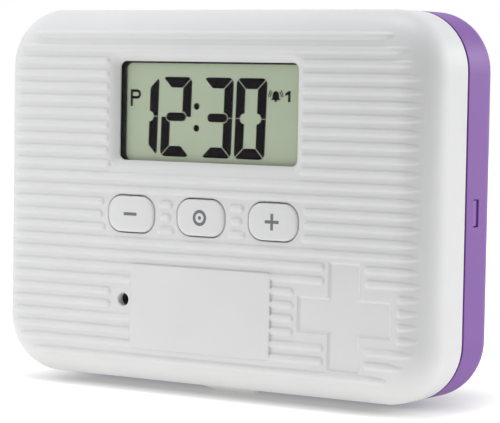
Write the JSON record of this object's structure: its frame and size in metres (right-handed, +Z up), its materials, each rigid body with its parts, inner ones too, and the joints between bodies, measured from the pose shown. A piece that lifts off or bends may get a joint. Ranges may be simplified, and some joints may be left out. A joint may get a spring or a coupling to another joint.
{
  "type": "pill box with timer",
  "caption": "Hinged pocket pill box: a ribbed white lid with a clock display, push buttons and a sound hole closes over a purple back shell with a divided pill tray.",
  "frame": {"origin": "under the middle of the box as it stands on its opening edge, level with the tip of the thumb tab", "axes": "+X along the width, to the right as the front is faced; +Y from the front face to the back; +Z up, from the opening edge to the hinge"},
  "size_m": [0.1088, 0.0288, 0.0818],
  "materials": {
    "white_shell": "fine satin moulding",
    "white_inner": "fine satin moulding",
    "white_buttons": "satin",
    "purple_shell": "fine satin moulding",
    "tray_plastic": "satin moulding",
    "steel": "drawn wire",
    "clear_window": "polished",
    "black_gasket": "matte",
    "lcd_glass": "satin polariser",
    "foil": "satin",
    "black_frame": "matte",
    "silicone": "matte",
    "board": "solder resist",
    "chip": "moulded",
    "brass": "bright",
    "cell_steel": "bright",
    "contact_metal": "bright nickel"
  },
  "bodies": {
    "base": {"back_shell": "purple_shell", "pill_tray": "tray_plastic", "hinge_pin": "steel"},
    "lid": {"front_cover": "white_shell", "display_window": "clear_window", "display_gasket": "black_gasket", "lcd_panel": "lcd_glass", "lcd_reflector": "foil", "lcd_frame": "black_frame", "zebra_connectors": "black_gasket", "keypad_mat": "silicone", "circuit_board": "board", "timer_chip": "chip", "quartz_crystal": "steel", "board_screws": "steel", "alarm_buzzer": "black_frame", "buzzer_leads": "brass", "coin_cell": "cell_steel", "battery_holder": "black_frame", "holder_screws": "steel", "battery_contact_negative": "contact_metal", "battery_contact_positive": "contact_metal", "inner_cover": "white_inner", "cover_screws": "steel"},
    "hour_button": {"hour_button": "white_buttons"},
    "mode_button": {"mode_button": "white_buttons"},
    "minute_button": {"minute_button": "white_buttons"},
    "battery_door": {"battery_door": "white_inner"}
  },
  "joints": [
    {"name": "lid_hinge", "type": "hinge", "parent": "base", "child": "lid", "pos_m": [0, 0.0057, 0.0795], "axis": [-1, 0, 0], "range_deg": [0, 110]},
    {"name": "hour_press", "type": "slide", "parent": "lid", "child": "hour_button", "axis": [0, 1, 0], "range_m": [0, 0.0006], "stiffness_N_per_m": 600, "springref_m": -0.0006},
    {"name": "mode_press", "type": "slide", "parent": "lid", "child": "mode_button", "axis": [0, 1, 0], "range_m": [0, 0.0006], "stiffness_N_per_m": 600, "springref_m": -0.0006},
    {"name": "minute_press", "type": "slide", "parent": "lid", "child": "minute_button", "axis": [0, 1, 0], "range_m": [0, 0.0006], "stiffness_N_per_m": 600, "springref_m": -0.0006},
    {"name": "battery_door_turn", "type": "hinge", "parent": "lid", "child": "battery_door", "pos_m": [0.01, -0.0008, 0.0208], "axis": [0, 1, 0], "range_deg": [0, 45]}
  ]
}
